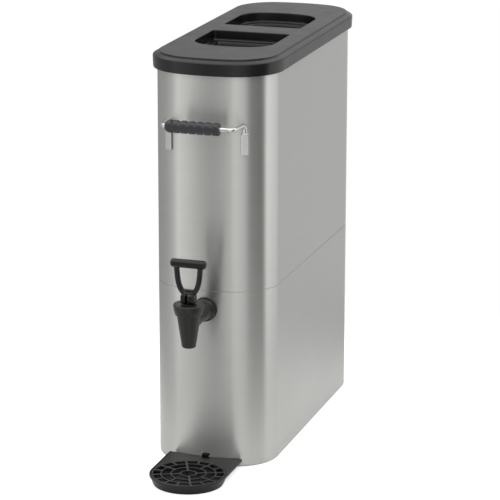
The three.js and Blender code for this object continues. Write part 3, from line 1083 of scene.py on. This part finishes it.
def drip_tray():
    top = TRAY_HEIGHT
    deck = top - 0.9
    shell = Shell()
    sections = [
        tray_circle(42.8, 0.8),
        tray_circle(43.4, 0.1),
        tray_circle(44.2, 0),
        tray_circle(44.9, 0.3),
        tray_circle(45.3, 1),
        tray_circle(48.6, 9.4),
        tray_circle(48.9, 9.8),
        tray_ring(0.9, 10),
        tray_ring(0.3, 10.15),
        tray_ring(0, 10.6),
        tray_ring(0, top - 0.5, deck - 0.5),
        tray_ring(0.15, top - 0.15, deck - 0.15),
        tray_ring(0.5, top, deck),
        tray_ring(1.1, top, deck),
        tray_ring(1.45, top - 0.15, deck),
        tray_ring(1.6, deck + 0.3, deck),
        tray_ring(1.75, deck + 0.06, deck),
        tray_ring(2.0, deck, deck),
        tray_circle(47.95, deck),
        tray_circle(47.75, deck - 0.2),
        tray_circle(47.7, deck - 0.6),
        tray_circle(47.6, 9.9),
        tray_circle(47.4, 9.75),
        tray_circle(45.2, 9.7),
        tray_circle(44.8, 9.4),
        tray_circle(43.4, 3.6),
        tray_circle(42.8, 2.6),
        tray_circle(41.6, 2.2),
    ]
    rings = shell.loft(sections, capped=False)
    shell.cap(rings[0])
    shell.cap(rings[-1])
    shell.add(slab((9.6, 9.4, 4), (0, 70.5, 14), 0.7))
    return built(
        "drip_tray_look",
        shell.moved(at_tray),
        TRAY_PLASTIC,
        "tray",
        ["drip_tray"],
    )


def cell(inner, outer, start, end, width, z):
    """A hole of the grid between two rings and two spokes, with rounded corners."""
    low = inner + width / 2
    high = outer - width / 2
    corner = min(1.1, (high - low) / 3)
    points = []
    for radius, first, last in ((high, start, end), (low, end, start)):
        sign = 1 if last > first else -1
        spoke = math.asin(width / 2 / radius) + corner / radius
        points += arc(0, 0, radius, first + sign * spoke, last - sign * spoke, 12)
        turn = last - sign * math.asin(width / 2 / radius)
        inward = corner if radius == high else -corner
        tip = (radius * math.cos(turn), radius * math.sin(turn))
        before = Vector(points[-1])
        after = Vector(((radius - inward) * math.cos(turn), (radius - inward) * math.sin(turn)))
        for k in range(1, 4):
            t = k / 4
            bent = before * (1 - t) ** 2 + Vector(tip) * 2 * t * (1 - t) + after * t * t
            points.append(tuple(bent))
        points.append(tuple(after))
    return [(x, y, z) for x, y in points]


def drip_grid():
    shell = Shell()
    top = GRID_TOP_Z
    levels = [(0.5, top), (0.14, top - 0.12), (0, top - 0.5), (0, GRID_BOTTOM_Z)]
    rim = GRID_RINGS[-1] + GRID_BAR / 2
    edge = [(rim - slim, z) for slim, z in levels]
    edge_rings = shell.loft(
        [[(x, y, z) for x, y in arc(0, 0, r, 0, 2 * math.pi, 96)[:-1]] for r, z in edge],
        capped=False,
    )
    tops = [edge_rings[0]]
    bottoms = [edge_rings[-1]]
    hub = GRID_RINGS[0] - GRID_BAR / 2
    centre = shell.loft(
        [
            [(x, y, z) for x, y in arc(0, 0, hub + slim, 0, 2 * math.pi, 48)[:-1]]
            for slim, z in levels
        ],
        capped=False,
    )
    tops.append(centre[0])
    bottoms.append(centre[-1])
    first = math.radians(22.5)
    for inner, outer, count in zip(GRID_RINGS, GRID_RINGS[1:], GRID_SPOKES):
        for i in range(count):
            start = first + 2 * math.pi * i / count
            end = start + 2 * math.pi / count
            rings = shell.loft(
                [
                    cell(inner, outer, start, end, GRID_BAR - 2 * slim, z)
                    for slim, z in levels
                ],
                capped=False,
            )
            tops.append(rings[0])
            bottoms.append(rings[-1])
    fill_flat(shell, tops)
    fill_flat(shell, bottoms)
    return built(
        "drip_grid_look", shell.moved(at_tray), GRID_PLASTIC, "grid", ["drip_grid"]
    )


# ---- CAD nodes that stay ----------------------------------------------------------------------
def refinish(node, material):
    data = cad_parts[node].data
    data.materials.clear()
    data.materials.append(material)


# ---- Assembly ---------------------------------------------------------------------------------
tank_wall()
base_skirt()
tank_floor()
lid_cover()
grab_handles()
faucet()
drip_tray()
drip_grid()
refinish("faucet_stem", LEVER_PLASTIC)
refinish("faucet_seat_cup", SILICONE)
refinish("faucet_washer_inner", SEAL_RUBBER)
refinish("faucet_clamp_washer", HANDLE_STEEL)


# ---- Floor, light and camera ------------------------------------------------------------------
def floor():
    """Pale disc with a painted pool of light, brighter under the object, that the camera sees as
    nearly white.
    """
    radius = 600
    edge = arc(0, 0, radius, 0, 2 * math.pi, 96)[:-1]
    shell = Shell()
    shell.cap(shell.ring([(x, y, -GAP - 0.1) for x, y in edge]))
    obj = loose("floor", shell)
    n = Nodes("floor_paper")
    distance = n.make("ShaderNodeVectorMath", operation="LENGTH")
    n.link(n.coords.outputs["Object"], distance.inputs[0])
    painted_pool_falloff = n.make("ShaderNodeMapRange")
    painted_pool_falloff.inputs["From Min"].default_value = 0.2
    painted_pool_falloff.inputs["From Max"].default_value = 0.5
    n.link(distance.outputs["Value"], painted_pool_falloff.inputs["Value"])
    # Painted pool of light: the floor's colour is bright within 0.2 m of the middle and darker
    # beyond 0.5 m, standing in for light falling under the object.
    painted_pool_colour = n.tint(painted_pool_falloff.outputs["Result"], (0.86, 0.86, 0.86), (0.42, 0.42, 0.42))
    n.link(painted_pool_colour, n.shader.inputs["Base Color"])
    n.shader.inputs["Roughness"].default_value = 0.8
    n.shader.inputs["Specular IOR Level"].default_value = 0.2
    n.shader.inputs["Emission Color"].default_value = (1, 1, 1, 1)
    seen = n.make("ShaderNodeLightPath")
    glow = n.make("ShaderNodeMath", operation="MULTIPLY")
    glow.inputs[1].default_value = 0.6
    n.link(seen.outputs["Is Camera Ray"], glow.inputs[0])
    n.link(glow.outputs[0], n.shader.inputs["Emission Strength"])
    obj.data.materials.append(n.material)


def studio():
    """White room whose soft panels are stronger to some sides, with a bright ceiling."""
    world = bpy.data.worlds.new("studio")
    bpy.context.scene.world = world
    world.use_nodes = True
    tree = world.node_tree
    tree.nodes.clear()
    make, link = tree.nodes.new, tree.links.new
    coords = make("ShaderNodeTexCoord")
    round_about = make("ShaderNodeTexGradient")
    round_about.gradient_type = "RADIAL"
    link(coords.outputs["Generated"], round_about.inputs["Vector"])
    panels = make("ShaderNodeValToRGB")
    panels.color_ramp.interpolation = "EASE"
    # Degrees from straight ahead of the faucet towards its right, and the light from there.
    sides = [
        (-152, 0.37),
        (-95, 0.52),
        (-70, 0.68),
        (-46, 1.15),
        (-14, 0.50),
        (14, 1.0),
        (32, 0.84),
        (58, 0.26),
        (91, 0.17),
        (101, 1.28),
        (135, 1.02),
        (163, 0.61),
        (180, 0.8),
    ]
    ramp = panels.color_ramp
    stops = [((angle / 360 + 0.25) % 1, light) for angle, light in sides]
    # The ramp's two ends meet straight to the left of the faucet.
    stops = sorted([*stops, (0, 0.55), (1, 0.55)])
    while len(ramp.elements) < len(stops):
        ramp.elements.new(0.5)
    for element, (position, light) in zip(ramp.elements, stops):
        element.position = position
        element.color = (light, light, light, 1)
    link(round_about.outputs["Fac"], panels.inputs["Fac"])
    height = make("ShaderNodeSeparateXYZ")
    link(coords.outputs["Generated"], height.inputs["Vector"])
    rise = make("ShaderNodeMapRange")
    rise.interpolation_type = "SMOOTHSTEP"
    rise.inputs["From Min"].default_value = 0.35
    rise.inputs["From Max"].default_value = 0.8
    link(height.outputs["Z"], rise.inputs["Value"])
    ceiling = make("ShaderNodeMix")
    ceiling.data_type = "RGBA"
    ceiling.inputs["B"].default_value = (1.75, 1.75, 1.75, 1)
    link(rise.outputs["Result"], ceiling.inputs["Factor"])
    link(panels.outputs["Color"], ceiling.inputs["A"])
    room = make("ShaderNodeBackground")
    link(ceiling.outputs["Result"], room.inputs["Color"])
    backdrop = make("ShaderNodeBackground")
    backdrop.inputs["Color"].default_value = (1, 1, 1, 1)
    rays = make("ShaderNodeLightPath")
    choose = make("ShaderNodeMixShader")
    link(rays.outputs["Is Camera Ray"], choose.inputs["Fac"])
    link(room.outputs[0], choose.inputs[1])
    link(backdrop.outputs[0], choose.inputs[2])
    out = make("ShaderNodeOutputWorld")
    link(choose.outputs[0], out.inputs["Surface"])


def camera():
    data = bpy.data.cameras.new("camera")
    data.lens = 187.2
    data.sensor_width = 36
    data.clip_end = 50
    obj = bpy.data.objects.new("camera", data)
    bpy.context.scene.collection.objects.link(obj)
    turn = (
        Matrix.Rotation(0.31155, 4, "Z")
        @ Matrix.Rotation(-0.26807, 4, "X")
        @ Matrix.Rotation(-0.0015, 4, "Y")
        @ Matrix.Rotation(math.pi / 2, 4, "X")
    )
    obj.matrix_world = Matrix.Translation((1.02783, -3.17744, 1.16119)) @ turn
    bpy.context.scene.camera = obj


floor()
studio()
camera()
bpy.context.scene.view_settings.view_transform = "Standard"
